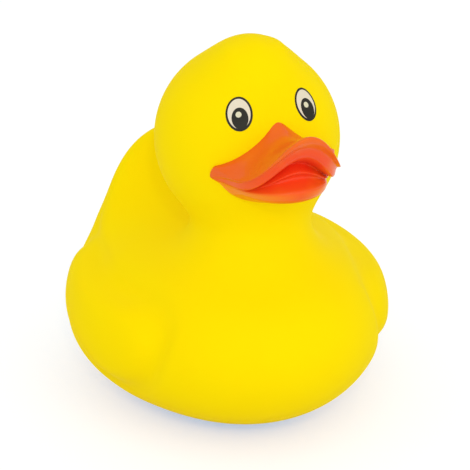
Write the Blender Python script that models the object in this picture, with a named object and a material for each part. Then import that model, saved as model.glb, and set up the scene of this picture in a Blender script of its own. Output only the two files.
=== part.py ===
"""Rubber duck: a hollow moulded vinyl bath toy with a squeaker pressed into its base.

The duck faces -Y, stands on Z = 0 and is the same on both sides of X = 0. Sizes are real ones.
The skin is one closed surface: rounded lobes (belly, chest, tail, neck, head, wings) that
melt into each other. A sphere of points is spread over it, section by section, from the tail
tip to the crown. The bill is spread the same way from one corner of the mouth to the other.
"""
from math import atan2, cos, pi, radians, sin, sqrt

import bmesh
import bpy
import numpy as np

MM = 0.001

# Belly: the largest lobe, flattened a little where it stands
BODY_WIDTH = 71.0 * MM
BODY_LENGTH = 75.8 * MM
BODY_HEIGHT = 42.8 * MM
BELLY_FLAT = 2.4 * MM
BODY_BEHIND_ORIGIN = 5.3 * MM

# Chest lobe, placed from the middle of the belly
CHEST_WIDTH = 49.8 * MM
CHEST_LENGTH = 50.4 * MM
CHEST_HEIGHT = 38.4 * MM
CHEST_FORWARD = 18.9 * MM
CHEST_RISE = 4.0 * MM

# Tail: an upright flat lobe that leans back
TAIL_WIDTH = 36.2 * MM
TAIL_THICKNESS = 11.6 * MM
TAIL_HEIGHT = 34.6 * MM
TAIL_BACK = 21.8 * MM
TAIL_RISE = 17.1 * MM
TAIL_LEAN = radians(26.0)

# Head and neck
HEAD_WIDTH = 39.6 * MM
HEAD_LENGTH = 40.2 * MM
HEAD_HEIGHT = 40.8 * MM
HEAD_FORWARD = 13.5 * MM
HEAD_RISE = 45.4 * MM
NECK_WIDTH = 22.4 * MM
NECK_LENGTH = 24.0 * MM
NECK_FORWARD = 17.3 * MM
NECK_SHORT_OF_CENTRES = 11.2 * MM

# Crown: the raised top of the head, with three small locks of a tuft on it
CROWN_WIDTH = 14.6 * MM
CROWN_LENGTH = 16.4 * MM
CROWN_HEIGHT = 13.2 * MM
CROWN_FORWARD = 3.3 * MM
CROWN_RISE = 16.3 * MM
LOCK_WIDTH = 5.0 * MM
LOCK_LENGTH = 9.0 * MM
LOCK_HEIGHT = 3.8 * MM
LOCK_SINK = 1.4 * MM
LOCK_SPREAD = 4.4 * MM
LOCK_DROP = 1.2 * MM
LOCK_BLEND = 1.0 * MM

# How far neighbouring lobes melt together
BODY_BLEND = 7.7 * MM
TAIL_BLEND = 13.8 * MM
NECK_BLEND = 8.4 * MM
CROWN_BLEND = 6.7 * MM

# Wings: a raised pad on each side. Seen from the side, its outline goes round a large front circle
# and a small tip circle, under a top edge that rises at both ends; a groove runs along the outline
WING_SPAN = 70.4 * MM
WING_SHELL_LENGTH = 78.9 * MM
WING_SHELL_HEIGHT = 47.8 * MM
WING_FORWARD = 1.0 * MM
WING_RISE = 2.1 * MM
WING_EDGE = 2.9 * MM
WING_CREASE = 1.6 * MM
WING_FRONT_RADIUS = 15.5 * MM
WING_FRONT_FORWARD = 11.3 * MM
WING_FRONT_RISE = 6.8 * MM
WING_TIP_RADIUS = 7.4 * MM
WING_TIP_BACK = 15.1 * MM
WING_TIP_RISE = 8.7 * MM
WING_TOP_RISE = 11.6 * MM
WING_TOP_FORWARD = 5.2 * MM
WING_TOP_SWEEP = 2.6 * MM
WING_TOP_RUN = 20.0 * MM
WING_TOP_CORNER = 10.1 * MM
GROOVE_DEPTH = 0.9 * MM
GROOVE_WIDTH = 2.6 * MM
GROOVE_FADES_FROM = 26.0 * MM
GROOVE_FADES_OVER = 10.0 * MM

# Vinyl wall and the hole in the base, with a step for the squeaker's flange
WALL = 2.0 * MM
HOLE_DIAMETER = 12.0 * MM
STEP_DIAMETER = 15.6 * MM
STEP_DEPTH = 1.2 * MM

# Squeaker: a small hollow plug with a flange, a rib that snaps behind the wall, and air holes
FIT_GAP = 0.3 * MM
FLANGE_RECESS = 0.2 * MM
RIB_OVERLAP = 0.9 * MM
RIB_THICKNESS = 1.0 * MM
SQUEAKER_BARREL_DIAMETER = 10.0 * MM
SQUEAKER_LENGTH = 10.0 * MM
SQUEAKER_WALL = 1.0 * MM
AIR_HOLE_DIAMETER = 2.4 * MM

# Bill: its corner is the end of the mouth line, and heights are counted from the head's middle
BILL_CORNER_FORWARD = 14.1 * MM
BILL_CORNER_HALF_WIDTH = 14.1 * MM
BILL_CORNER_RISE = -1.5 * MM

# The rails run from corner to corner of the mouth: half width, how far forward and how high
# one is in the middle, how high it is at the corners, and two powers that shape its fall
UPPER_RAILS = (
    ("root inside", 10.1, 13.4, 12.5, 0.9, 1.0, 1.77),
    ("root above", 14.7, 17.7, 10.9, 1.4, 1.0, 1.35),
    ("saddle", 13.3, 23.2, 7.9, 0.7, 1.3, 1.46),
    ("lip back", 12.5, 30.2, 11.4, 0.4, 2.0, 2.05),
    ("lip crest", 12.3, 35.9, 14.7, 0.5, 2.0, 1.75),
    ("lip front", 12.3, 34.6, 11.7, 0.1, 2.0, 1.58),
    ("inner face", 11.8, 32.4, 10.1, -0.6, 2.0, 1.32),
    ("roof edge", 11.7, 32.3, 7.5, -2.0, 2.0, 2.20),
)
LOWER_RAILS = (
    ("lower lip top", 9.9, 30.6, -0.1, -3.2, 2.0, 0.66),
    ("lower lip front", 10.1, 30.8, -1.2, -3.4, 2.0, 0.48),
    ("lower lip foot", 10.1, 29.9, -3.6, -3.3, 2.0, 0.49),
    ("chin", 10.8, 24.0, -5.0, -3.1, 2.0, 0.48),
    ("root below", 12.3, 18.6, -8.1, -2.8, 2.0, 0.46),
    ("throat inside", 8.7, 12.5, -5.1, -1.6, 2.0, 0.50),
)

# Rails inside the mouth: how far down from the roof's edge to the lower lip, and how deep
MOUTH_RAILS = (
    ("mouth back", 0.31, 4.8),
    ("tongue back", 0.41, 5.3),
    ("tongue top", 0.54, 1.7),
    ("tongue dip", 0.64, 3.0),
    ("tongue foot", 0.82, 3.8),
)
MOUTH_SPAN = 0.66
BILL_SLOT = 1
MOUTH_SLOT = 2
BILL_AROUND = len(UPPER_RAILS) + len(MOUTH_RAILS) + len(LOWER_RAILS)
BILL_STATIONS = 18
BILL_SUBDIVISIONS = 1

# How full the rails are where they leave the corners, and how close the first station is to them
BILL_BOW = 0.8
BILL_PINCH = 0.45

# Eyes: prints on the head, drawn as stacked thin ovals: across, up, half width, half height
EYE_APART = 15.0 * MM
EYE_FORWARD = 14.6 * MM
EYE_RISE = 11.8 * MM
EYE_LEAN = radians(10.0)
EYE_LAYERS = (
    ("rim", 0.0, 0.0, 2.85, 3.66, "ink_black"),
    ("white", 0.0, 0.05, 2.4, 3.17, "ink_white"),
    ("pupil", 0.1, -0.95, 1.75, 2.3, "ink_black"),
    ("glint", -0.1, -0.1, 0.62, 0.62, "ink_white"),
)
INK_LIFT = 0.12 * MM
INK_STEP = 0.08 * MM
INK_DEPTH = 0.5 * MM
EYE_SEGMENTS = 18
EYE_RINGS = 6

# Mesh density of the skin and of the coarser inner wall: around, tail cap, middle, head cap
SKIN_MESH = (54, 8, 40, 12)
CAVITY_MESH = (20, 4, 16, 6)
SQUEAKER_SEGMENTS = 24
HOLE_SEGMENTS = 40

# Places worked out from the sizes
BODY = np.array((0.0, BODY_BEHIND_ORIGIN, BODY_HEIGHT / 2 - BELLY_FLAT))
CHEST = BODY + (0.0, -CHEST_FORWARD, CHEST_RISE)
TAIL = BODY + (0.0, TAIL_BACK, TAIL_RISE)
HEAD = BODY + (0.0, -HEAD_FORWARD, HEAD_RISE)
CROWN = HEAD + (0.0, -CROWN_FORWARD, CROWN_RISE)
NECK = BODY + (0.0, -NECK_FORWARD, HEAD_RISE / 2)
NECK_HEIGHT = HEAD_RISE - 2 * NECK_SHORT_OF_CENTRES
WING = BODY + (0.0, -WING_FORWARD, WING_RISE)

# Search steps: how finely a ray looks for the skin, and how far it looks
RAY_STEP = 0.75 * MM
SECTION_STEP = 0.25 * MM
RAY_REACH = 66.0 * MM
PIVOT_REACH = 96.0 * MM
PIVOT_UP_THE_TAIL = 0.22
PIVOT_TRIALS = 60
HALVINGS = 22

# Guards against rounding: a length that is as good as nothing, and how near a pole a point is one
TINY = 1e-9
AT_POLE = 0.9999
SHARP_ANGLE = radians(40.0)


def ellipsoid(points, centre, size, lean=0.0):
    """Signed distance, near enough, to a rounded lobe that may lean back about X."""
    q = points - centre
    if lean:
        y = q[..., 1] * cos(lean) - q[..., 2] * sin(lean)
        z = q[..., 1] * sin(lean) + q[..., 2] * cos(lean)
        q = np.stack((q[..., 0], y, z), axis=-1)
    half = np.array(size) / 2
    near = np.linalg.norm(q / half, axis=-1)
    slope = np.linalg.norm(q / half**2, axis=-1)
    return near * (near - 1) / np.maximum(slope, TINY)


def melt(a, b, width):
    """Join two lobes with a fillet of the given width."""
    h = np.maximum(width - np.abs(a - b), 0) / width
    return np.minimum(a, b) - h * h * width / 4


def trim(a, b, width):
    """Keep what lies in both shapes, with a rounded edge."""
    return -melt(-a, -b, width)


def blank(points):
    """The duck without wings, tuft, bill or eyes."""
    body = ellipsoid(points, BODY, (BODY_WIDTH, BODY_LENGTH, BODY_HEIGHT))
    chest = ellipsoid(points, CHEST, (CHEST_WIDTH, CHEST_LENGTH, CHEST_HEIGHT))
    tail = ellipsoid(points, TAIL, (TAIL_WIDTH, TAIL_THICKNESS, TAIL_HEIGHT), TAIL_LEAN)
    head = ellipsoid(points, HEAD, (HEAD_WIDTH, HEAD_LENGTH, HEAD_HEIGHT))
    crown = ellipsoid(points, CROWN, (CROWN_WIDTH, CROWN_LENGTH, CROWN_HEIGHT))
    neck = ellipsoid(points, NECK, (NECK_WIDTH, NECK_LENGTH, NECK_HEIGHT))
    torso = melt(melt(body, chest, BODY_BLEND), tail, TAIL_BLEND)
    top = melt(melt(head, crown, CROWN_BLEND), neck, NECK_BLEND)
    return melt(torso, top, NECK_BLEND)


def wing_outline(y, z):
    """Distance, seen from the side, to a round lobe that narrows to a tip, cut off by its top edge."""
    run = WING_FRONT_FORWARD + WING_TIP_BACK
    rise = WING_TIP_RISE - WING_FRONT_RISE
    length = np.hypot(run, rise)
    top = BODY[2] + WING_TOP_RISE
    top = top + WING_TOP_SWEEP * ((y - BODY[1] + WING_TOP_FORWARD) / WING_TOP_RUN) ** 2
    above = z - top
    y, z = y - BODY[1] + WING_FRONT_FORWARD, z - BODY[2] - WING_FRONT_RISE
    along = (y * run + z * rise) / length
    side = np.abs(z * run - y * rise) / length
    tilt = (WING_FRONT_RADIUS - WING_TIP_RADIUS) / length
    flat = sqrt(1 - tilt * tilt)
    place = along * flat - side * tilt
    edge = side * flat + along * tilt - WING_FRONT_RADIUS
    edge = np.where(place < 0, np.hypot(side, along) - WING_FRONT_RADIUS, edge)
    tip = np.hypot(side, along - length) - WING_TIP_RADIUS
    return trim(np.where(place > flat * length, tip, edge), above, WING_TOP_CORNER)


def skin(points):
    """The whole outer skin, before the bill and the eyes are joined to it."""
    shape = blank(points)
    for side in (-1, 0, 1):
        drop = CROWN_HEIGHT / 2 - LOCK_SINK - abs(side) * LOCK_DROP
        lock = CROWN + (side * LOCK_SPREAD, 0.0, drop)
        shape = melt(shape, ellipsoid(points, lock, (LOCK_WIDTH, LOCK_LENGTH, LOCK_HEIGHT)), LOCK_BLEND)
    shell = ellipsoid(points, WING, (WING_SPAN, WING_SHELL_LENGTH, WING_SHELL_HEIGHT))
    outline = wing_outline(points[..., 1], points[..., 2])
    shape = melt(shape, trim(shell, outline, WING_EDGE), WING_CREASE)
    outward = (np.abs(points[..., 0]) - GROOVE_FADES_FROM) / GROOVE_FADES_OVER + 1
    groove = np.exp(-(outline / GROOVE_WIDTH) ** 2) * np.clip(outward, 0, 1)
    shape = shape + GROOVE_DEPTH * groove
    return np.maximum(shape, -points[..., 2])


def cavity(points):
    """The inner wall: the blank, flat at the bottom, drawn in by the wall."""
    return np.maximum(blank(points), -points[..., 2]) + WALL


def reach(field, starts, ways):
    """Distance from points inside a shape to its surface, along unit directions."""
    found = np.full(len(starts), RAY_REACH)
    searching = np.ones(len(starts), bool)
    for distance in np.arange(RAY_STEP, RAY_REACH, RAY_STEP):
        outside = field(starts + ways * distance) > 0
        found[searching & outside] = distance
        searching &= ~outside
    low, high = found - RAY_STEP, found
    for _ in range(HALVINGS):
        middle = (low + high) / 2
        outside = field(starts + ways * middle[:, None]) > 0
        high = np.where(outside, middle, high)
        low = np.where(outside, low, middle)
    return (low + high) / 2


def unit(vectors):
    """Vectors scaled to length one."""
    return vectors / np.linalg.norm(vectors, axis=-1, keepdims=True)


def hollow_middle():
    """The roomiest point, seen from the side, between the neck and the tail."""
    tail_way = np.array((0.0, sin(TAIL_LEAN), cos(TAIL_LEAN)))
    tail_end = TAIL + TAIL_HEIGHT * PIVOT_UP_THE_TAIL * tail_way
    row = NECK + np.linspace(0, 1, PIVOT_TRIALS)[:, None] * (tail_end - NECK)
    row[:, 2] = tail_end[2]
    return row[blank(row).argmax()], tail_end


def sections(field, count):
    """Middle, outward way, half depth and half width of planes that fan out from above the back."""
    pivot, tail_end = hollow_middle()
    first = atan2(*(tail_end - pivot)[[2, 1]])
    last = atan2(*(HEAD - pivot)[[2, 1]]) - 2 * pi
    angles = np.linspace(first, last, count + 1)
    ways = np.stack((np.zeros(count + 1), np.cos(angles), np.sin(angles)), axis=-1)
    steps = np.arange(0, PIVOT_REACH, SECTION_STEP)
    inside = field(pivot + ways[:, None, :] * steps[None, :, None]) < 0
    enter = inside.argmax(axis=1)
    past = np.arange(len(steps)) > enter[:, None]
    leave = (past & ~inside).argmax(axis=1)
    near, far = steps[enter], steps[leave]
    middles = pivot + ways * ((near + far) / 2)[:, None]
    across = np.tile((1.0, 0.0, 0.0), (count + 1, 1))
    return middles, ways, (far - near) / 2, reach(field, middles, across)


def spread(bm, field, tail_rings, middle_rings, head_rings):
    """Move the points of a unit sphere, poles along Z, onto a duck-shaped surface."""
    rings = tail_rings + middle_rings + head_rings
    middles, ways, depths, widths = sections(field, middle_rings)
    co = np.array([v.co[:] for v in bm.verts])
    ring = np.rint(np.arccos(np.clip(co[:, 2], -1, 1)) / pi * rings).astype(int)
    turn = np.arctan2(co[:, 1], co[:, 0])
    slot = np.clip(ring - tail_rings, 0, middle_rings)
    start, out = middles[slot], ways[slot]
    forward = np.stack((np.zeros(len(co)), out[:, 2], -out[:, 1]), axis=-1)
    cone = np.full(len(co), pi / 2)
    in_tail = ring < tail_rings
    in_head = ring > tail_rings + middle_rings
    cone[in_tail] = pi / 2 * ring[in_tail] / tail_rings
    cone[in_head] = pi / 2 * (1 + (ring[in_head] - tail_rings - middle_rings) / head_rings)
    ends = np.stack((-forward[in_tail][0], forward[in_head][0]))
    tips = reach(field, middles[[0, -1]], ends)
    length = np.where(in_tail, tips[0], tips[1])
    way = -np.cos(cone)[:, None] * forward * length[:, None]
    way += (np.sin(cone) * np.cos(turn) * depths[slot])[:, None] * out
    way[:, 0] += np.sin(cone) * np.sin(turn) * widths[slot]
    way = unit(way)
    placed = start + way * reach(field, start, way)[:, None]
    for vert, place in zip(bm.verts, placed):
        vert.co = place


def sphere_mesh(name, around, rings, shape, materials, slot_of=None):
    """A closed mesh: a sphere of points that shape() moves to their places."""
    bm = bmesh.new()
    bmesh.ops.create_uvsphere(bm, u_segments=around, v_segments=rings, radius=1.0)
    if slot_of:
        for face in bm.faces:
            face.material_index = slot_of(face.calc_center_median())
    shape(bm)
    bmesh.ops.recalc_face_normals(bm, faces=bm.faces)
    return finished_object(name, bm, materials)


def finished_object(name, bm, materials):
    """Turn a bmesh into an object with smooth faces and its materials."""
    mesh = bpy.data.meshes.new(name)
    bm.to_mesh(mesh)
    bm.free()
    mesh.shade_smooth()
    mesh.set_sharp_from_angle(angle=SHARP_ANGLE)
    for material in materials:
        mesh.materials.append(material)
    obj = bpy.data.objects.new(name, mesh)
    bpy.context.collection.objects.link(obj)
    return obj


def duck_mesh(name, field, density, materials):
    """One closed duck-shaped surface."""
    around, tail_rings, middle_rings, head_rings = density
    rings = tail_rings + middle_rings + head_rings
    return sphere_mesh(name, around, rings, lambda bm: spread(bm, field, *density[1:]), materials)


def rail_place(rail, angle):
    """A point on a rail outside the mouth, at an angle from one corner to the other."""
    half_width, forward, rise, corner_rise, spread_power, fall_power = rail[1:]
    across = sin(angle)
    fall = max(1 - abs(across) ** spread_power, 0) ** fall_power
    ahead = BILL_CORNER_FORWARD + (forward * MM - BILL_CORNER_FORWARD) * cos(angle) ** BILL_BOW
    up = corner_rise + (rise - corner_rise) * fall
    return HEAD + (half_width * MM * across, -ahead, up * MM)


def bill_place(number, angle):
    """A point on a rail, counted over the upper lip, through the mouth and on below."""
    if number < len(UPPER_RAILS):
        return rail_place(UPPER_RAILS[number], angle)
    number -= len(UPPER_RAILS)
    if number >= len(MOUTH_RAILS):
        return rail_place(LOWER_RAILS[number - len(MOUTH_RAILS)], angle)
    down, deep = MOUTH_RAILS[number][1:]
    roof, lip = rail_place(UPPER_RAILS[-1], angle), rail_place(LOWER_RAILS[0], angle)
    return roof + (lip - roof) * down + (0.0, deep * MM * cos(angle), 0.0)


def shape_bill(bm):
    """Move a unit sphere, poles at the corners of the mouth, onto the bill's rails."""
    last = BILL_STATIONS - 2
    for vert in bm.verts:
        side = BILL_CORNER_HALF_WIDTH * (1 if vert.co.z > 0 else -1)
        corner = HEAD + (side, -BILL_CORNER_FORWARD, BILL_CORNER_RISE)
        number = round(atan2(vert.co.y, vert.co.x) / (2 * pi) * BILL_AROUND) % BILL_AROUND
        station = round(np.arccos(np.clip(vert.co.z, -1, 1)) / pi * BILL_STATIONS)
        angle = pi * (BILL_STATIONS / 2 - min(max(station, 2), last)) / last
        from_corner = min(station, BILL_STATIONS - station)
        share = (0.0, BILL_PINCH, 1.0)[min(from_corner, 2)]
        vert.co = corner + (bill_place(number, angle) - corner) * share


def mouth_slot(centre):
    """Material slot of a bill face: the mouth's inside is painted redder, short of its corners."""
    place = atan2(centre.y, centre.x) / (2 * pi) * BILL_AROUND % BILL_AROUND
    inside = -1 <= place - len(UPPER_RAILS) <= len(MOUTH_RAILS) - 1
    return MOUTH_SLOT if inside and abs(centre.z) < MOUTH_SPAN else BILL_SLOT


def add_bill(materials):
    """The bill, a solid that is joined to the head."""
    bill = sphere_mesh("bill", BILL_AROUND, BILL_STATIONS, shape_bill, materials, mouth_slot)
    smooth = bill.modifiers.new("rounded", "SUBSURF")
    smooth.levels = BILL_SUBDIVISIONS
    smooth.render_levels = BILL_SUBDIVISIONS
    return bill


def shape_ink(bm, side, layer, height):
    """Lay a unit sphere on the head as a thin oval of ink."""
    across, up, half_width, half_height = (value * MM for value in layer[1:5])
    way = unit(np.array((side * EYE_APART / 2, -EYE_FORWARD, EYE_RISE)))
    middle = HEAD + way * reach(skin, HEAD[None], way[None])[0]
    rise = unit(np.array((0.0, 0.0, 1.0)) - way * way[2])
    right = np.cross(rise, way)
    lean = EYE_LEAN * side
    tall = rise * cos(lean) + right * sin(lean)
    wide = right * cos(lean) - rise * sin(lean)
    co = np.array([v.co[:] for v in bm.verts])
    spot = middle + (across + co[:, :1] * half_width) * wide + (up + co[:, 1:2] * half_height) * tall
    ways = unit(spot - HEAD)
    far = reach(skin, np.tile(HEAD, (len(ways), 1)), ways)
    far += np.where(co[:, 2] > -TINY, height, -INK_DEPTH - height)
    for vert, place in zip(bm.verts, HEAD + ways * far[:, None]):
        vert.co = place


def add_eye(side, materials, slots):
    """The printed layers of one eye, each a little prouder than the one below."""
    layers = []
    for number, layer in enumerate(EYE_LAYERS):
        height = INK_LIFT + number * INK_STEP
        layers.append(sphere_mesh(
            f"eye_{layer[0]}_{'left' if side > 0 else 'right'}", EYE_SEGMENTS, EYE_RINGS,
            lambda bm: shape_ink(bm, side, layer, height), materials, lambda centre: slots[layer[5]]))
    return layers


def add_plug_cutter(name, diameter, depth, materials):
    """A cylinder that cuts the base open from below, up to a depth."""
    bm = bmesh.new()
    bmesh.ops.create_cone(bm, cap_ends=True, segments=HOLE_SEGMENTS, radius1=diameter / 2,
                          radius2=diameter / 2, depth=depth + WALL)
    bmesh.ops.translate(bm, verts=bm.verts, vec=(0.0, BODY[1], (depth - WALL) / 2))
    return finished_object(name, bm, materials)


def add_squeaker(material):
    """The squeaker: a profile of radius and height, spun round."""
    hole, barrel = HOLE_DIAMETER / 2, SQUEAKER_BARREL_DIAMETER / 2
    air, room = AIR_HOLE_DIAMETER / 2, SQUEAKER_BARREL_DIAMETER / 2 - SQUEAKER_WALL
    flange_top = STEP_DEPTH - FIT_GAP
    rib_foot = WALL + FIT_GAP
    rib_top = rib_foot + RIB_THICKNESS
    floor = FLANGE_RECESS + SQUEAKER_WALL
    top = FLANGE_RECESS + SQUEAKER_LENGTH
    profile = (
        (air, FLANGE_RECESS), (STEP_DIAMETER / 2 - FIT_GAP, FLANGE_RECESS),
        (STEP_DIAMETER / 2 - FIT_GAP, flange_top), (hole - FIT_GAP, flange_top),
        (hole - FIT_GAP, rib_foot), (hole + RIB_OVERLAP, rib_foot), (barrel, rib_top),
        (barrel, top), (air, top), (air, top - SQUEAKER_WALL),
        (room, top - SQUEAKER_WALL), (room, floor), (air, floor),
    )
    bm = bmesh.new()
    ring = [bm.verts.new((radius, 0.0, height)) for radius, height in profile]
    edges = [bm.edges.new((a, b)) for a, b in zip(ring, ring[1:] + ring[:1])]
    bmesh.ops.spin(bm, geom=ring + edges, cent=(0, 0, 0), axis=(0, 0, 1), angle=2 * pi,
                   steps=SQUEAKER_SEGMENTS, use_merge=True)
    bmesh.ops.recalc_face_normals(bm, faces=bm.faces)
    squeaker = finished_object("squeaker", bm, [material])
    squeaker.location = (0.0, BODY[1], 0.0)
    return squeaker


def linear(value):
    """A screen colour value as the light value that materials take."""
    value /= 255
    return value / 12.92 if value <= 0.04045 else ((value + 0.055) / 1.055) ** 2.4


def add_material(name, colour, roughness):
    """A plain finish: screen colour and roughness."""
    material = bpy.data.materials.new(name)
    material.use_nodes = True
    shader = material.node_tree.nodes["Principled BSDF"]
    rgb = [linear(value) for value in colour]
    shader.inputs["Base Color"].default_value = (*rgb, 1.0)
    shader.inputs["Roughness"].default_value = roughness
    shader.inputs["Metallic"].default_value = 0.0
    material.diffuse_color = (*rgb, 1.0)
    return material


def hide_helper(obj):
    """Keep a shape that is joined or cut away out of the model itself."""
    obj.hide_render = True
    obj.display_type = "WIRE"


def combine(target, helper, operation):
    """Join a helper to the target, or cut it away."""
    hide_helper(helper)
    modifier = target.modifiers.new(helper.name, "BOOLEAN")
    modifier.operation = operation
    modifier.solver = "EXACT"
    modifier.object = helper


def main():
    """Build the duck and its squeaker."""
    for obj in list(bpy.data.objects):
        bpy.data.objects.remove(obj)
    finishes = [
        add_material("vinyl_yellow", (253, 224, 0), 0.42),
        add_material("bill_orange", (242, 108, 36), 0.22),
        add_material("mouth_red", (226, 62, 38), 0.2),
        add_material("ink_white", (234, 226, 204), 0.5),
        add_material("ink_black", (40, 38, 34), 0.45),
    ]
    slots = {material.name: number for number, material in enumerate(finishes)}
    body = duck_mesh("vinyl_body", skin, SKIN_MESH, finishes)
    combine(body, add_bill(finishes), "UNION")
    for side in (-1, 1):
        for layer in add_eye(side, finishes, slots):
            combine(body, layer, "UNION")
    combine(body, duck_mesh("inner_wall", cavity, CAVITY_MESH, finishes), "DIFFERENCE")
    above_floor = 2 * WALL
    combine(body, add_plug_cutter("base_hole", HOLE_DIAMETER, above_floor, finishes), "DIFFERENCE")
    combine(body, add_plug_cutter("base_step", STEP_DIAMETER, STEP_DEPTH, finishes), "DIFFERENCE")
    add_squeaker(add_material("squeaker_white", (232, 230, 224), 0.45))


main()
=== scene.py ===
# %% [markdown]
# # A rubber duck, from lobes to studio light
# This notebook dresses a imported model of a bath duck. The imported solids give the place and
# the size of everything. Here the duck gets its smooth skin, its painted bill, its printed
# eyes and the soft white studio that it is looked at in.
# All lengths are in metres. The duck faces -Y, stands on Z = 0 and has its left wing at +X.

# %% Load the frame
from math import atan2, cos, pi, radians, sin

import bmesh
import bpy
import numpy as np
from mathutils import Matrix, Vector


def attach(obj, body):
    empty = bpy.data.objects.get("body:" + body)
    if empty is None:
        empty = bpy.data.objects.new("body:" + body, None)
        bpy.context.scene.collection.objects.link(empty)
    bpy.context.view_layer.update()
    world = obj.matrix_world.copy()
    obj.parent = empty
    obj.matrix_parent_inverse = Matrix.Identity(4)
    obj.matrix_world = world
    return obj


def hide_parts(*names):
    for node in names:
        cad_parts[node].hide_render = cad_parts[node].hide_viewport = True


MM = 0.001

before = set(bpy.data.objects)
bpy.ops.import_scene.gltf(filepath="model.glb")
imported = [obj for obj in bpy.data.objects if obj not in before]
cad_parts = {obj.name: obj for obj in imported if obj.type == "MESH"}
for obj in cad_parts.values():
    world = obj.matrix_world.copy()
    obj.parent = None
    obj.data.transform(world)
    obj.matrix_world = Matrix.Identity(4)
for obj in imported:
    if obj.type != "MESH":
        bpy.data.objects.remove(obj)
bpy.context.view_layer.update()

# %% [markdown]
# ## The sizes of the moulding
# A bath duck is one piece of soft vinyl, cast in a mould as a thin hollow shell. Its shape can
# be described as a few rounded lobes that melt into each other: belly, chest, tail, neck, head
# and crown, with a raised pad on each side for a wing. These are the sizes that the solids
# were made from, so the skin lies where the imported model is. Only the groove round the wings
# is deeper here, because soft light fills it in.

# %% Sizes and places of the lobes
BODY_SIZE = np.array((71.0, 75.8, 42.8)) * MM
BODY = np.array((0.0, 5.3, 19.0)) * MM
CHEST_SIZE = np.array((49.8, 50.4, 38.4)) * MM
CHEST = BODY + np.array((0.0, -18.9, 4.0)) * MM
TAIL_SIZE = np.array((36.2, 11.6, 34.6)) * MM
TAIL = BODY + np.array((0.0, 21.8, 17.1)) * MM
TAIL_LEAN = radians(26.0)
HEAD_SIZE = np.array((39.6, 40.2, 40.8)) * MM
HEAD = BODY + np.array((0.0, -13.5, 45.4)) * MM
NECK_SIZE = np.array((22.4, 24.0, 23.0)) * MM
NECK = BODY + np.array((0.0, -17.3, 22.7)) * MM
CROWN_SIZE = np.array((14.6, 16.4, 13.2)) * MM
CROWN = HEAD + np.array((0.0, -3.3, 16.3)) * MM
LOCK_SIZE = np.array((5.0, 9.0, 3.8)) * MM
LOCK_SPACING, LOCK_RISE, SIDE_LOCK_DROP = 4.4, 5.2, 1.2
LOCK_PLACES = [
    CROWN + np.array((side * LOCK_SPACING, 0.0, LOCK_RISE - abs(side) * SIDE_LOCK_DROP)) * MM
    for side in (-1, 0, 1)
]
# widths of the fillets where the lobes melt into each other
BODY_BLEND, TAIL_BLEND = 0.0077, 0.0138
NECK_BLEND, CROWN_BLEND, LOCK_BLEND = 0.0084, 0.0067, 0.001
print("head middle, mm:", HEAD / MM)

# %% Sizes of the wings
WING_SIZE = np.array((70.4, 78.9, 47.8)) * MM
WING = BODY + np.array((0.0, -1.0, 2.1)) * MM
WING_EDGE, WING_CREASE = 2.9 * MM, 1.6 * MM
FRONT_CIRCLE = BODY[1] - 11.3 * MM, BODY[2] + 6.8 * MM, 15.5 * MM
TIP_CIRCLE = BODY[1] + 15.1 * MM, BODY[2] + 8.7 * MM, 7.4 * MM
WING_TOP = BODY[1] - 5.2 * MM, BODY[2] + 11.6 * MM
WING_TOP_SWEEP, WING_TOP_RUN, WING_TOP_CORNER = 2.6 * MM, 20.0 * MM, 10.1 * MM
GROOVE_DEPTH, GROOVE_WIDTH = 1.3 * MM, 2.6 * MM
GROOVE_FULL_AT, GROOVE_FADES_OVER = 26.0 * MM, 10.0 * MM
print("wings span, mm:", WING_SIZE[0] / MM)

# %% [markdown]
# ## Lobes as distances
# A lobe could be a scaled sphere, and the lobes could be joined with Boolean modifiers, but
# every seam would then show as a crease. Here each lobe is a function that tells how far a
# point is from its surface: negative inside, positive outside. Two such distances blend into
# one with a soft minimum, which gives the rounded fillets of a casting.


# %% One lobe, and two ways to put lobes together
LEAST_SLOPE = 1e-9


def ellipsoid(points, centre, size, lean=0.0):
    """Signed distance, near enough, to a rounded lobe that may lean back about X."""
    q = points - centre
    if lean:
        y = q[..., 1] * cos(lean) - q[..., 2] * sin(lean)
        z = q[..., 1] * sin(lean) + q[..., 2] * cos(lean)
        q = np.stack((q[..., 0], y, z), axis=-1)
    half = size / 2
    near = np.linalg.norm(q / half, axis=-1)
    slope = np.linalg.norm(q / half**2, axis=-1)
    return near * (near - 1) / np.maximum(slope, LEAST_SLOPE)


def melt(a, b, width):
    """Join two lobes with a fillet of the given width."""
    h = np.maximum(width - np.abs(a - b), 0) / width
    return np.minimum(a, b) - h * h * width / 4


def trim(a, b, width):
    """Keep what lies in both shapes, with a rounded edge."""
    return -melt(-a, -b, width)


print("two surfaces 1 mm away, melted over 1 mm, come to", melt(1.0, 1.0, width=1.0), "mm away")


# %% [markdown]
# ## The wings
# The wings are puffy pads that end in a soft crease. Seen from the side, the outline of a wing
# goes round a large circle in front and a small one behind, under a top edge that rises at
# both ends. The pad is where that outline meets a slightly wider shell, and a shallow groove
# runs along the outline.


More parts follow.
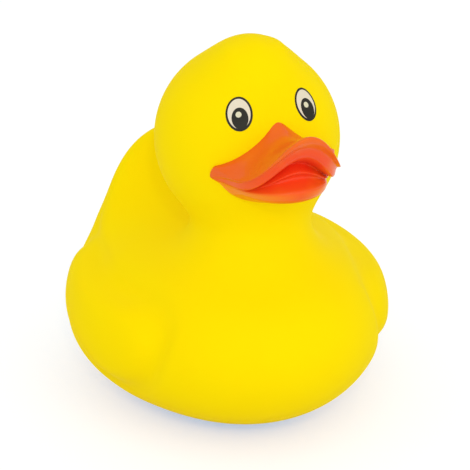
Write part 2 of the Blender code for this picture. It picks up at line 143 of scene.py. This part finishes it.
# %% The outline of a wing, seen from the side
def wing_outline(y, z):
    """Distance to the outline around the two circles, below the top edge."""
    above = z - WING_TOP[1] - WING_TOP_SWEEP * ((y - WING_TOP[0]) / WING_TOP_RUN) ** 2
    run, rise = TIP_CIRCLE[0] - FRONT_CIRCLE[0], TIP_CIRCLE[1] - FRONT_CIRCLE[1]
    length = np.hypot(run, rise)
    y, z = y - FRONT_CIRCLE[0], z - FRONT_CIRCLE[1]
    along = (y * run + z * rise) / length
    side = np.abs(z * run - y * rise) / length
    tilt = (FRONT_CIRCLE[2] - TIP_CIRCLE[2]) / length
    flat = np.sqrt(1 - tilt * tilt)
    place = along * flat - side * tilt
    edge = side * flat + along * tilt - FRONT_CIRCLE[2]
    edge = np.where(place < 0, np.hypot(side, along) - FRONT_CIRCLE[2], edge)
    tip = np.hypot(side, along - length) - TIP_CIRCLE[2]
    return trim(np.where(place > flat * length, tip, edge), above, WING_TOP_CORNER)


# %% The whole skin
def blank(points):
    """The duck without wings and tuft."""
    body = ellipsoid(points, BODY, BODY_SIZE)
    chest = ellipsoid(points, CHEST, CHEST_SIZE)
    tail = ellipsoid(points, TAIL, TAIL_SIZE, TAIL_LEAN)
    head = ellipsoid(points, HEAD, HEAD_SIZE)
    crown = ellipsoid(points, CROWN, CROWN_SIZE)
    neck = ellipsoid(points, NECK, NECK_SIZE)
    torso = melt(melt(body, chest, BODY_BLEND), tail, TAIL_BLEND)
    top = melt(melt(head, crown, CROWN_BLEND), neck, NECK_BLEND)
    return melt(torso, top, NECK_BLEND)


def skin(points):
    """Distance to the outer skin, with its flat base on Z = 0."""
    shape = blank(points)
    for lock in LOCK_PLACES:
        shape = melt(shape, ellipsoid(points, lock, LOCK_SIZE), LOCK_BLEND)
    outline = wing_outline(points[..., 1], points[..., 2])
    pad = trim(ellipsoid(points, WING, WING_SIZE), outline, WING_EDGE)
    shape = melt(shape, pad, WING_CREASE)
    outward = (np.abs(points[..., 0]) - GROOVE_FULL_AT) / GROOVE_FADES_OVER + 1
    groove = np.exp(-(outline / GROOVE_WIDTH) ** 2) * np.clip(outward, 0, 1)
    return np.maximum(shape + GROOVE_DEPTH * groove, -points[..., 2])


# %% [markdown]
# ## Spreading a sphere over the duck
# The skin could be remeshed from voxels, but then its faces would ignore the shape. Instead a
# UV sphere is laid over the duck: its rings run from the tail tip, under the belly and up the
# chest to the crown. Each point is sent along a ray from inside the duck until it meets the
# surface. A coarse march finds where the ray leaves, and halving finds the exact place.

# %% Follow rays from the inside to the surface
RAY_STEP = 0.75 * MM
RAY_REACH = 66.0 * MM
HALVINGS = 18


def reach(field, starts, ways):
    """Distance from points inside a shape to its surface, along unit directions."""
    found = np.full(len(starts), RAY_REACH)
    left = np.arange(len(starts))
    for distance in np.arange(RAY_STEP, RAY_REACH, RAY_STEP):
        outside = field(starts[left] + ways[left] * distance) > 0
        found[left[outside]] = distance
        left = left[~outside]
        if not len(left):
            break
    low, high = found - RAY_STEP, found
    for _ in range(HALVINGS):
        middle = (low + high) / 2
        outside = field(starts + ways * middle[:, None]) > 0
        high = np.where(outside, middle, high)
        low = np.where(outside, low, middle)
    return (low + high) / 2


def unit(vectors):
    """Vectors scaled to length one."""
    return vectors / np.linalg.norm(vectors, axis=-1, keepdims=True)


print("rays end within", RAY_STEP / 2**HALVINGS / MM, "mm of the surface")


# %% [markdown]
# The rings of the sphere lie on planes that fan out from a point above the duck's back, in the
# hollow between neck and tail. Each plane's middle, depth and width give its rays a start and
# an even spacing.

# %% Planes that fan out from above the back
PIVOT_REACH, PIVOT_STEP = 96.0 * MM, RAY_STEP / 3
PIVOT_UP_THE_TAIL = 0.22
PIVOT_TRIALS = 60


def hollow_middle():
    """The roomiest point, seen from the side, between the neck and the tail."""
    tail_way = np.array((0.0, sin(TAIL_LEAN), cos(TAIL_LEAN)))
    tail_end = TAIL + TAIL_SIZE[2] * PIVOT_UP_THE_TAIL * tail_way
    row = NECK + np.linspace(0, 1, PIVOT_TRIALS)[:, None] * (tail_end - NECK)
    row[:, 2] = tail_end[2]
    return row[blank(row).argmax()], tail_end


def sections(field, count):
    """Middle, outward way, half depth and half width of each plane."""
    pivot, tail_end = hollow_middle()
    first = atan2(*(tail_end - pivot)[[2, 1]])
    last = atan2(*(HEAD - pivot)[[2, 1]]) - 2 * pi
    angles = np.linspace(first, last, count + 1)
    ways = np.stack((np.zeros(count + 1), np.cos(angles), np.sin(angles)), axis=-1)
    steps = np.arange(0, PIVOT_REACH, PIVOT_STEP)
    inside = field(pivot + ways[:, None, :] * steps[None, :, None]) < 0
    enter = inside.argmax(axis=1)
    past = np.arange(len(steps)) > enter[:, None]
    leave = (past & ~inside).argmax(axis=1)
    near, far = steps[enter], steps[leave]
    middles = pivot + ways * ((near + far) / 2)[:, None]
    across = np.tile((1.0, 0.0, 0.0), (count + 1, 1))
    return middles, ways, (far - near) / 2, reach(field, middles, across)


print("planes fan out from, mm:", np.round(hollow_middle()[0] / MM, 1))


# %% Lay the sphere's points on the surface
def spread(bm, field, tail_rings, middle_rings, head_rings):
    """Move the points of a unit sphere, poles along Z, onto a duck-shaped surface."""
    rings = tail_rings + middle_rings + head_rings
    middles, ways, depths, widths = sections(field, middle_rings)
    co = np.array([v.co[:] for v in bm.verts])
    ring = np.rint(np.arccos(np.clip(co[:, 2], -1, 1)) / pi * rings).astype(int)
    turn = np.arctan2(co[:, 1], co[:, 0])
    slot = np.clip(ring - tail_rings, 0, middle_rings)
    start, out = middles[slot], ways[slot]
    forward = np.stack((np.zeros(len(co)), out[:, 2], -out[:, 1]), axis=-1)
    cone = np.full(len(co), pi / 2)
    in_tail, in_head = ring < tail_rings, ring > tail_rings + middle_rings
    cone[in_tail] = pi / 2 * ring[in_tail] / tail_rings
    cone[in_head] = pi / 2 * (1 + (ring[in_head] - tail_rings - middle_rings) / head_rings)
    ends = np.stack((-forward[in_tail][0], forward[in_head][0]))
    tips = reach(field, middles[[0, -1]], ends)
    length = np.where(in_tail, tips[0], tips[1])
    way = -np.cos(cone)[:, None] * forward * length[:, None]
    way += (np.sin(cone) * np.cos(turn) * depths[slot])[:, None] * out
    way[:, 0] += np.sin(cone) * np.sin(turn) * widths[slot]
    way = unit(way)
    placed = start + way * reach(field, start, way)[:, None]
    for vert, place in zip(bm.verts, placed):
        vert.co = place


# %% Turn a bmesh into a piece of the scene
def new_piece(name, bm, materials, stands_for=()):
    """A smooth piece that moves with the duck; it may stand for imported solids."""
    bmesh.ops.recalc_face_normals(bm, faces=bm.faces)
    mesh = bpy.data.meshes.new(name)
    bm.to_mesh(mesh)
    bm.free()
    mesh.shade_smooth()
    for material in materials:
        mesh.materials.append(material)
    piece = bpy.data.objects.new(name, mesh)
    bpy.context.collection.objects.link(piece)
    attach(piece, "root")
    if stands_for:
        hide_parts(*stands_for)
    print(name, len(mesh.vertices), "points")
    return piece


# %% [markdown]
# ## Finishes
# All of the duck's colours are written as the screen shows them, and turned into the light
# values that a shader takes. The vinyl is nearly matt, with a very fine grain from the mould
# and small drifts in colour. Light also goes a little way into it, which softens its shadows.


# %% Colours, and nodes wired by name
def light(red, green, blue):
    """Screen colour, 0 to 255, as the light values of a shader, by the sRGB curve."""
    screen = np.array((red, green, blue)) / 255
    low, high = screen / 12.92, ((screen + 0.055) / 1.055) ** 2.4
    return (*np.where(screen <= 0.04045, low, high), 1.0)


def new_material(name, **settings):
    """A material with its Principled shader, set by the names of its sockets."""
    material = bpy.data.materials.new(name)
    material.use_nodes = True
    shader = material.node_tree.nodes["Principled BSDF"]
    for socket, value in settings.items():
        shader.inputs[socket.replace("_", " ")].default_value = value
    return material, material.node_tree, shader


def add_node(tree, kind, links=(), **values):
    """A node with its values, and with wires into it: (input name, output socket)."""
    node = tree.nodes.new(kind)
    for key, value in values.items():
        if hasattr(node, key):
            setattr(node, key, value)
        else:
            node.inputs[key.replace("_", " ")].default_value = value
    for socket, source in links:
        tree.links.new(source, node.inputs[socket])
    return node


# %% [markdown]
# Grain and mottle show up in the vinyl, the paint, the inks and the squeaker, each at its own
# scale. That is what a node group is for: one recipe, with sockets for what differs.

# %% A node group for grain
GRAIN_INPUTS = (("Fine Scale", 1800.0), ("Broad Scale", 60.0), ("Roughness", 0.4), ("Drift", 0.05))
NOISE_MIDDLE = 0.5
grain = bpy.data.node_groups.new("mould_grain", "ShaderNodeTree")
for label, value in GRAIN_INPUTS:
    socket = grain.interface.new_socket(label, in_out="INPUT", socket_type="NodeSocketFloat")
    socket.default_value = value
for label in ("Height", "Roughness", "Mottle"):
    grain.interface.new_socket(label, in_out="OUTPUT", socket_type="NodeSocketFloat")
grain_in = add_node(grain, "NodeGroupInput")
grain_out = add_node(grain, "NodeGroupOutput")
where = add_node(grain, "ShaderNodeTexCoord")
fine = add_node(grain, "ShaderNodeTexNoise", Detail=3.0,
                links=[("Vector", where.outputs["Object"]), ("Scale", grain_in.outputs["Fine Scale"])])
broad = add_node(grain, "ShaderNodeTexNoise", Detail=2.0,
                 links=[("Vector", where.outputs["Object"]), ("Scale", grain_in.outputs["Broad Scale"])])
centred = add_node(grain, "ShaderNodeMath", operation="SUBTRACT", links=[(0, broad.outputs["Fac"])])
centred.inputs[1].default_value = NOISE_MIDDLE
drifted = add_node(grain, "ShaderNodeMath", operation="MULTIPLY_ADD",
                   links=[(0, centred.outputs[0]), (1, grain_in.outputs["Drift"]),
                          (2, grain_in.outputs["Roughness"])])
grain.links.new(fine.outputs["Fac"], grain_out.inputs["Height"])
grain.links.new(drifted.outputs[0], grain_out.inputs["Roughness"])
grain.links.new(broad.outputs["Fac"], grain_out.inputs["Mottle"])
print("node group:", grain.name)


# %% Put the grain under a shader
GRAIN_HEIGHT = 0.05 * MM
# the sockets of a Mix node that mixes colours; those that mix numbers have the same names
MIX_FACTOR, MIX_FIRST, MIX_SECOND, MIX_RESULT = 0, 6, 7, 2


def use_grain(tree, shader, fine_scale, broad_scale, roughness, drift, bump):
    """Wire the grain group into a shader's roughness and normal; returns the group node."""
    node = add_node(tree, "ShaderNodeGroup", node_tree=grain)
    for label, value in (("Fine Scale", fine_scale), ("Broad Scale", broad_scale),
                         ("Roughness", roughness), ("Drift", drift)):
        node.inputs[label].default_value = value
    relief = add_node(tree, "ShaderNodeBump", Strength=bump, Distance=GRAIN_HEIGHT,
                      links=[("Height", node.outputs["Height"])])
    tree.links.new(node.outputs["Roughness"], shader.inputs["Roughness"])
    tree.links.new(relief.outputs["Normal"], shader.inputs["Normal"])
    return node


def mix(tree, factor, first, second):
    """Mix two colours by a factor socket; each colour is a value or an output socket."""
    node = add_node(tree, "ShaderNodeMix", data_type="RGBA")
    tree.links.new(factor, node.inputs[MIX_FACTOR])
    for socket, colour in ((node.inputs[MIX_FIRST], first), (node.inputs[MIX_SECOND], second)):
        if isinstance(colour, tuple):
            socket.default_value = colour
        else:
            tree.links.new(colour, socket)
    return node.outputs[MIX_RESULT]


# %% Yellow vinyl
VINYL_YELLOW = light(254, 226, 0)
VINYL_DEEPER = light(252, 220, 0)
vinyl, tree, shader = new_material("yellow_vinyl", Specular_IOR_Level=0.02, Subsurface_Weight=0.12,
                                   Subsurface_Scale=1.2 * MM)
shader.inputs["Subsurface Radius"].default_value = (1.0, 0.7, 0.1)
texture = use_grain(tree, shader, fine_scale=2200.0, broad_scale=45.0, roughness=0.62,
                    drift=0.08, bump=0.05)
yellow = mix(tree, texture.outputs["Mottle"], VINYL_DEEPER, VINYL_YELLOW)
tree.links.new(yellow, shader.inputs["Base Color"])
print("finish:", vinyl.name)

# %% [markdown]
# ## The skin
# With the helpers in place, the skin itself is one call to make the sphere and one to spread
# it. A ring is about a millimetre wide, so creases and fillets are true shape, with no need
# for a bump.

# %% Spread the skin
AROUND, TAIL_RINGS, MIDDLE_RINGS, HEAD_RINGS = 320, 34, 192, 44
bm = bmesh.new()
bmesh.ops.create_uvsphere(bm, u_segments=AROUND, v_segments=TAIL_RINGS + MIDDLE_RINGS + HEAD_RINGS,
                          radius=1.0)
spread(bm, skin, TAIL_RINGS, MIDDLE_RINGS, HEAD_RINGS)
duck_skin = new_piece("duck_skin", bm, [vinyl], stands_for=["vinyl_body"])

# %% [markdown]
# ## The hole in the base
# A squeaker is pushed into a stepped hole in the flat base. The hole is cut with two cylinders
# and a Boolean, which is the simplest tool for a round hole in a finished skin. The result is
# baked into the mesh, so that no helper stays in the scene.

# %% Cut the stepped hole
HOLE_DIAMETER, HOLE_DEPTH = 12.0 * MM, 11.0 * MM
STEP_DIAMETER, STEP_DEPTH = 15.6 * MM, 1.2 * MM
HOLE_SEGMENTS, CRISP_FROM = 96, radians(50.0)
cutters = []
for diameter, depth in ((HOLE_DIAMETER, HOLE_DEPTH), (STEP_DIAMETER, STEP_DEPTH)):
    bm = bmesh.new()
    bmesh.ops.create_cone(bm, cap_ends=True, segments=HOLE_SEGMENTS, radius1=diameter / 2,
                          radius2=diameter / 2, depth=2 * depth)
    bmesh.ops.translate(bm, verts=bm.verts, vec=(0.0, BODY[1], 0.0))
    cutter_mesh = bpy.data.meshes.new("cutter")
    bm.to_mesh(cutter_mesh)
    bm.free()
    cutter = bpy.data.objects.new("cutter", cutter_mesh)
    bpy.context.collection.objects.link(cutter)
    modifier = duck_skin.modifiers.new("hole", "BOOLEAN")
    modifier.operation = "DIFFERENCE"
    modifier.solver = "EXACT"
    modifier.object = cutter
    cutters.append(cutter)
cut_skin = duck_skin.evaluated_get(bpy.context.evaluated_depsgraph_get())
cut_mesh = bpy.data.meshes.new_from_object(cut_skin)
duck_skin.modifiers.clear()
duck_skin.data = cut_mesh
for cutter in cutters:
    bpy.data.objects.remove(cutter)
cut_mesh.set_sharp_from_angle(angle=CRISP_FROM)
print("skin with its hole:", len(cut_mesh.polygons), "faces")

# %% [markdown]
# ## The bill
# The bill is part of the same moulding, but it has crisp lips and an open mouth, so it gets
# its own surface. Nineteen rails run from one corner of the mouth to the other: over the top,
# along the upper lip, into the mouth, over the tongue, round the lower lip and back under the
# chin. A sphere whose poles are the two corners of the mouth carries them, and a Subdivision
# Surface rounds them off.

# %% The rails of the bill
# name; half width, and how far forward and up it is in the middle, in mm from the head's
# middle; its height at the corners; two powers that shape its fall to them; how red it is:
# the red mouth paint, made redder further into the mouth as painted shade
UPPER_RAILS = (
    ("root inside", 10.1, 13.4, 12.5, 0.9, 1.0, 1.77, 0),
    ("root above", 14.7, 17.7, 10.9, 1.4, 1.0, 1.35, 0),
    ("saddle", 13.3, 23.2, 7.9, 0.7, 1.3, 1.46, 0),
    ("lip back", 12.5, 30.2, 11.4, 0.4, 2.0, 2.05, 0.05),
    ("lip crest", 12.3, 35.9, 14.7, 0.5, 2.0, 1.75, 0.15),
    ("lip front", 12.3, 34.6, 11.7, 0.1, 2.0, 1.58, 0.45),
    ("inner face", 11.8, 32.4, 10.1, -0.6, 2.0, 1.32, 0.6),
    ("roof edge", 11.7, 32.3, 7.5, -2.0, 2.0, 2.20, 0.85),
)
LOWER_RAILS = (
    ("lower lip top", 9.9, 30.6, -0.1, -3.2, 2.0, 0.66, 0.6),
    ("lower lip front", 10.1, 30.8, -1.2, -3.4, 2.0, 0.48, 0.35),
    ("lower lip foot", 10.1, 29.9, -3.6, -3.3, 2.0, 0.49, 0.1),
    ("chin", 10.8, 24.0, -5.0, -3.1, 2.0, 0.48, 0),
    ("root below", 12.3, 18.6, -8.1, -2.8, 2.0, 0.46, 0),
    ("throat inside", 8.7, 12.5, -5.1, -1.6, 2.0, 0.50, 0),
)
# name; its share of the way down from the roof's edge to the lower lip; how deep inside it is,
# in mm; how red it is: the red mouth paint, reddest in the back and in the tongue's dip as
# painted shade
MOUTH_RAILS = (
    ("mouth back", 0.31, 4.8, 1),
    ("tongue back", 0.41, 5.3, 1),
    ("tongue top", 0.54, 1.7, 0.85),
    ("tongue dip", 0.64, 3.0, 0.95),
    ("tongue foot", 0.82, 3.8, 0.9),
)
BILL_CORNER = np.array((14.1, 14.1, -1.5)) * MM
BILL_AROUND = len(UPPER_RAILS) + len(MOUTH_RAILS) + len(LOWER_RAILS)
BILL_STATIONS, BILL_LEVELS = 18, 3
# a bow under 1 makes the rails fuller than an arc, and the pinch draws the points beside a
# corner of the mouth in towards it
BILL_BOW, BILL_PINCH = 0.8, 0.45
# the red fades towards the corners, where the underside of the lower lip and the chin take a
# painted reflection of the yellow chest
REDNESS_FADE, LOWER_LIP_REFLECTION = 4, 0.9


def rail_place(rail, angle):
    """A point on a rail outside the mouth, at an angle from one corner to the other."""
    half_width, forward, rise, corner_rise, spread_power, fall_power = rail[1:7]
    across = sin(angle)
    fall = max(1 - abs(across) ** spread_power, 0) ** fall_power
    ahead = BILL_CORNER[1] + (forward * MM - BILL_CORNER[1]) * cos(angle) ** BILL_BOW
    up = corner_rise + (rise - corner_rise) * fall
    return HEAD + (half_width * MM * across, -ahead, up * MM)


def bill_place(rail, angle):
    """A point on any rail; one in the mouth lies between the roof's edge and the lower lip."""
    if rail not in MOUTH_RAILS:
        return rail_place(rail, angle)
    down, deep = rail[1:3]
    roof, lip = rail_place(UPPER_RAILS[-1], angle), rail_place(LOWER_RAILS[0], angle)
    return roof + (lip - roof) * down + (0.0, deep * MM * cos(angle), 0.0)


# %% Glossy bill paint: red in the mouth with painted shade deeper in, and a painted reflection of the yellow chest under the lower lip
ORANGE_TOP = light(238, 100, 22)
ORANGE_MOTTLE_AND_REFLECTION = light(248, 152, 14)
ORANGE_LIP = light(242, 88, 28)
MOUTH_RED = light(243, 62, 28)
LIP_REDNESS = 0.5
bill_paint, tree, shader = new_material("bill_paint", Specular_IOR_Level=0.08, Coat_Weight=0.18,
                                        Coat_Roughness=0.06)
texture = use_grain(tree, shader, fine_scale=900.0, broad_scale=110.0, roughness=0.3,
                    drift=0.12, bump=0.06)
# painted shade: this value, carried by the rails, darkens the red mouth paint further into the mouth
mouth_red_and_shade = add_node(tree, "ShaderNodeAttribute", attribute_name="mouth_red_and_shade")
ramp = add_node(tree, "ShaderNodeValToRGB", links=[("Fac", mouth_red_and_shade.outputs["Fac"])])
ramp.color_ramp.elements[0].color = ORANGE_TOP
ramp.color_ramp.elements[1].color = MOUTH_RED
lip_stop = ramp.color_ramp.elements.new(LIP_REDNESS)
lip_stop.color = ORANGE_LIP
patchy = add_node(tree, "ShaderNodeMapRange", links=[("Value", texture.outputs["Mottle"])],
                  From_Min=0.45, From_Max=0.75, To_Max=0.3)
# painted reflection: a yellower orange under the lower lip and chin, stronger towards the corners,
# stands for the yellow chest reflected there; the mottle adds random patches of it
painted_yellow_reflection = add_node(tree, "ShaderNodeAttribute", attribute_name="painted_yellow_reflection")
mottle_and_reflection = add_node(tree, "ShaderNodeMath", operation="MAXIMUM",
                links=[(0, patchy.outputs["Result"]), (1, painted_yellow_reflection.outputs["Fac"])])
paint = mix(tree, mottle_and_reflection.outputs[0], ramp.outputs["Color"], ORANGE_MOTTLE_AND_REFLECTION)
tree.links.new(paint, shader.inputs["Base Color"])
print("finish:", bill_paint.name)

# %% Shape the bill
bm = bmesh.new()
bmesh.ops.create_uvsphere(bm, u_segments=BILL_AROUND, v_segments=BILL_STATIONS, radius=1.0)
mouth_red_and_shade_layer = bm.verts.layers.float.new("mouth_red_and_shade")
painted_yellow_reflection_layer = bm.verts.layers.float.new("painted_yellow_reflection")
rails = UPPER_RAILS + MOUTH_RAILS + LOWER_RAILS
first, last = 2, BILL_STATIONS - 2
for vert in bm.verts:
    rail = rails[round(atan2(vert.co.y, vert.co.x) / (2 * pi) * BILL_AROUND) % BILL_AROUND]
    station = round(np.arccos(np.clip(vert.co.z, -1, 1)) / pi * BILL_STATIONS)
    angle = pi * (BILL_STATIONS / 2 - min(max(station, first), last)) / last
    corner = HEAD + BILL_CORNER * (1 if vert.co.z > 0 else -1, -1, 1)
    from_corner = min(station, BILL_STATIONS - station)
    share = (0.0, BILL_PINCH, 1.0)[min(from_corner, first)]
    # the red mouth paint, with painted shade deeper into the mouth
    vert[mouth_red_and_shade_layer] = rail[-1] * share * (1 - abs(sin(angle)) ** REDNESS_FADE)
    # painted reflection of the yellow chest on the rails under the lower lip
    vert[painted_yellow_reflection_layer] = LOWER_LIP_REFLECTION * abs(sin(angle)) if rail in LOWER_RAILS[1:] else 0.0
    vert.co = corner + (bill_place(rail, angle) - corner) * share
bill = new_piece("bill", bm, [bill_paint], stands_for=["vinyl_body"])
smooth = bill.modifiers.new("rounded", "SUBSURF")
smooth.levels = smooth.render_levels = BILL_LEVELS

# %% [markdown]
# ## The eyes
# The eyes are pad-printed: a black oval, a cream one on it, a black pupil and a pale dot. They
# could be painted into the vinyl's material, but ink printed as its own thin layer keeps a
# sharp edge at any distance. Each layer is a sphere pressed almost flat onto the head.

# %% Inks
INK_BLACK = light(45, 44, 37)
INK_CREAM = light(230, 221, 196)
INK_DOT = light(222, 219, 186)
INK_WEAR = 0.94
inks = {}
for name, colour, roughness in (("ink_black", INK_BLACK, 0.4), ("ink_cream", INK_CREAM, 0.5),
                                ("ink_dot", INK_DOT, 0.5)):
    inks[name], tree, shader = new_material(name, Specular_IOR_Level=0.12)
    texture = use_grain(tree, shader, fine_scale=2600.0, broad_scale=700.0, roughness=roughness,
                        drift=0.1, bump=0.04)
    worn = tuple(channel * INK_WEAR for channel in colour[:3]) + (1.0,)
    tree.links.new(mix(tree, texture.outputs["Mottle"], worn, colour), shader.inputs["Base Color"])
print("inks:", list(inks))

# %% Lay the prints on the head
# from the head's middle towards the left eye; the right one mirrors it
EYE_TOWARDS = np.array((7.5, -14.6, 11.8))
EYE_LEAN = radians(10.0)
# across, up, half width and half height of each layer, in mm, and its ink
EYE_LAYERS = (
    (0.0, 0.0, 2.85, 3.66, "ink_black"),
    (0.0, 0.05, 2.4, 3.17, "ink_cream"),
    (0.1, -0.95, 1.75, 2.3, "ink_black"),
    (-0.1, -0.1, 0.62, 0.62, "ink_dot"),
)
# how far the lowest layer stands over the skin, what each next one adds, and how deep they go
INK_LIFT, INK_STEP, INK_DEPTH = 0.04 * MM, 0.03 * MM, 0.3 * MM
EYE_SEGMENTS, EYE_RINGS, UNDERSIDE_FROM = 72, 24, -0.01


def press_on(verts, side, layer, height):
    """Move the points of a unit sphere so that it lies on the head as a thin oval."""
    across, up, half_width, half_height = (value * MM for value in layer[:4])
    way = unit(EYE_TOWARDS * (side, 1, 1))
    middle = HEAD + way * reach(skin, HEAD[None], way[None])[0]
    rise = unit(np.array((0.0, 0.0, 1.0)) - way * way[2])
    right = np.cross(rise, way)
    lean = EYE_LEAN * side
    tall = rise * cos(lean) + right * sin(lean)
    wide = right * cos(lean) - rise * sin(lean)
    co = np.array([v.co[:] for v in verts])
    spot = middle + (across + co[:, :1] * half_width) * wide
    spot += (up + co[:, 1:2] * half_height) * tall
    ways = unit(spot - HEAD)
    far = reach(skin, np.tile(HEAD, (len(ways), 1)), ways)
    far += np.where(co[:, 2] > UNDERSIDE_FROM, height, -INK_DEPTH)
    for vert, place in zip(verts, HEAD + ways * far[:, None]):
        vert.co = place


for side, name in ((-1, "eye_print_right"), (1, "eye_print_left")):
    bm = bmesh.new()
    for number, layer in enumerate(EYE_LAYERS):
        made = bmesh.ops.create_uvsphere(bm, u_segments=EYE_SEGMENTS, v_segments=EYE_RINGS,
                                         radius=1.0)
        press_on(made["verts"], side, layer, INK_LIFT + number * INK_STEP)
        for face in {face for vert in made["verts"] for face in vert.link_faces}:
            face.material_index = list(inks).index(layer[4])
    new_piece(name, bm, list(inks.values()), stands_for=["vinyl_body"])

# %% [markdown]
# ## The squeaker
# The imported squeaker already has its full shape, so it stays as it is and gets the look of a
# plain off-white moulding.

# %% Squeaker plastic
PLASTIC_DULLER = light(222, 219, 210)
PLASTIC_WHITE = light(236, 234, 228)
plastic, tree, shader = new_material("squeaker_plastic", Specular_IOR_Level=0.4)
texture = use_grain(tree, shader, fine_scale=1500.0, broad_scale=200.0, roughness=0.42,
                    drift=0.1, bump=0.08)
shade = mix(tree, texture.outputs["Mottle"], PLASTIC_DULLER, PLASTIC_WHITE)
tree.links.new(shade, shader.inputs["Base Color"])
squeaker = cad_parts["squeaker"]
for material_slot in squeaker.material_slots:
    material_slot.material = plastic
print("squeaker slots:", len(squeaker.material_slots))

# %% [markdown]
# ## The studio
# The duck stands on a white table in a white room, with two large soft lights in front of it
# and a small one for glints. For the light that it throws back, the floor is a light grey, so
# that the yellow doesn't wash out. The duck throws yellow light on the floor beside it. So the
# floor that the camera sees has a warm colour and a bluish glow, which add up to white in full
# light and keep the shadow grey.

# %% Floor
FLOOR_RADIUS, FLOOR_SEGMENTS = 2.5, 96
bm = bmesh.new()
bmesh.ops.create_circle(bm, cap_ends=True, segments=FLOOR_SEGMENTS, radius=FLOOR_RADIUS)
floor_mesh = bpy.data.meshes.new("floor")
bm.to_mesh(floor_mesh)
bm.free()
floor = bpy.data.objects.new("floor", floor_mesh)
bpy.context.collection.objects.link(floor)
FLOOR_SEEN, FLOOR_BOUNCE = (0.90, 0.72, 0.45, 1.0), (0.85, 0.85, 0.85, 1.0)
FLOOR_GLOW, FLOOR_GLOW_COLOUR = 0.63, (0.29, 0.59, 1.0, 1.0)
floor_white, tree, shader = new_material("floor_white", Roughness=0.9, Specular_IOR_Level=0.0)
rays = add_node(tree, "ShaderNodeLightPath")
seen = add_node(tree, "ShaderNodeMath", operation="MAXIMUM",
                links=[(0, rays.outputs["Is Camera Ray"]), (1, rays.outputs["Is Glossy Ray"])])
tree.links.new(mix(tree, seen.outputs[0], FLOOR_BOUNCE, FLOOR_SEEN), shader.inputs["Base Color"])
glow = add_node(tree, "ShaderNodeMath", operation="MULTIPLY", links=[(0, seen.outputs[0])])
glow.inputs[1].default_value = FLOOR_GLOW
tree.links.new(glow.outputs[0], shader.inputs["Emission Strength"])
shader.inputs["Emission Color"].default_value = FLOOR_GLOW_COLOUR
floor_mesh.materials.append(floor_white)
print("finish:", floor_white.name)

# %% World and lights
world = bpy.data.worlds.new("white_room")
bpy.context.scene.world = world
world.use_nodes = True
tree = world.node_tree
WORLD_LIGHT = 0.86
rays = add_node(tree, "ShaderNodeLightPath")
seen = add_node(tree, "ShaderNodeMath", operation="MAXIMUM",
                links=[(0, rays.outputs["Is Camera Ray"]), (1, rays.outputs["Is Transmission Ray"])])
strength = add_node(tree, "ShaderNodeMapRange", links=[("Value", seen.outputs[0])],
                    To_Min=WORLD_LIGHT, To_Max=1.0)
tree.links.new(strength.outputs["Result"], tree.nodes["Background"].inputs["Strength"])
tree.nodes["Background"].inputs["Color"].default_value = (1.0, 1.0, 1.0, 1.0)

LIGHTS_AIM_AT = Vector((0.0, 0.0, 0.045))
# name, place, watts and width of each light
LIGHTS = (
    ("softbox", (0.35, -0.95, 0.5), 1.3, 0.8),
    ("window", (-0.45, -0.8, 0.55), 1.1, 0.6),
    ("sparkle", (-0.2, -0.6, 0.45), 0.35, 0.03),
)


def area_light(name, place, power, size):
    """A square soft light that looks at the duck."""
    lamp = bpy.data.lights.new(name, "AREA")
    lamp.energy = power
    lamp.size = size
    holder = bpy.data.objects.new(name, lamp)
    bpy.context.collection.objects.link(holder)
    turn = (LIGHTS_AIM_AT - Vector(place)).to_track_quat("-Z", "Y")
    holder.matrix_world = Matrix.Translation(place) @ turn.to_matrix().to_4x4()


for settings in LIGHTS:
    area_light(*settings)

# %% [markdown]
# ## The camera
# The photograph was taken from a little above, with the duck turned nearly a quarter of a right
# angle away from straight on. A long lens from 65 cm keeps the shapes true.

# %% Camera
AZIMUTH, ELEVATION, DISTANCE = radians(-21.1), radians(24.7), 0.65
PIXELS, PIXELS_PER_METRE = 470, 4600
SENSOR, FARTHEST_SEEN = 36.0, 20.0
AIM_AHEAD, AIM_HEIGHT, AIM_LEFT, AIM_UP = 11.1 * MM, 40.0 * MM, 1.7 * MM, 0.15 * MM
back = Vector((sin(AZIMUTH) * cos(ELEVATION), -cos(AZIMUTH) * cos(ELEVATION), sin(ELEVATION)))
right = Vector((cos(AZIMUTH), sin(AZIMUTH), 0.0))
up = back.cross(right)
target = Vector((0.0, BODY[1] - AIM_AHEAD, AIM_HEIGHT)) - right * AIM_LEFT + up * AIM_UP
camera_data = bpy.data.cameras.new("camera")
camera_data.sensor_width = SENSOR
camera_data.lens = SENSOR * PIXELS_PER_METRE * DISTANCE / PIXELS
camera_data.clip_end = FARTHEST_SEEN
camera = bpy.data.objects.new("camera", camera_data)
bpy.context.collection.objects.link(camera)
camera.matrix_world = (Matrix.Translation(target + back * DISTANCE)
                       @ Matrix((right, up, back)).transposed().to_4x4())
bpy.context.scene.camera = camera
bpy.context.scene.view_settings.view_transform = "Standard"
print("lens, mm:", round(camera_data.lens, 1))
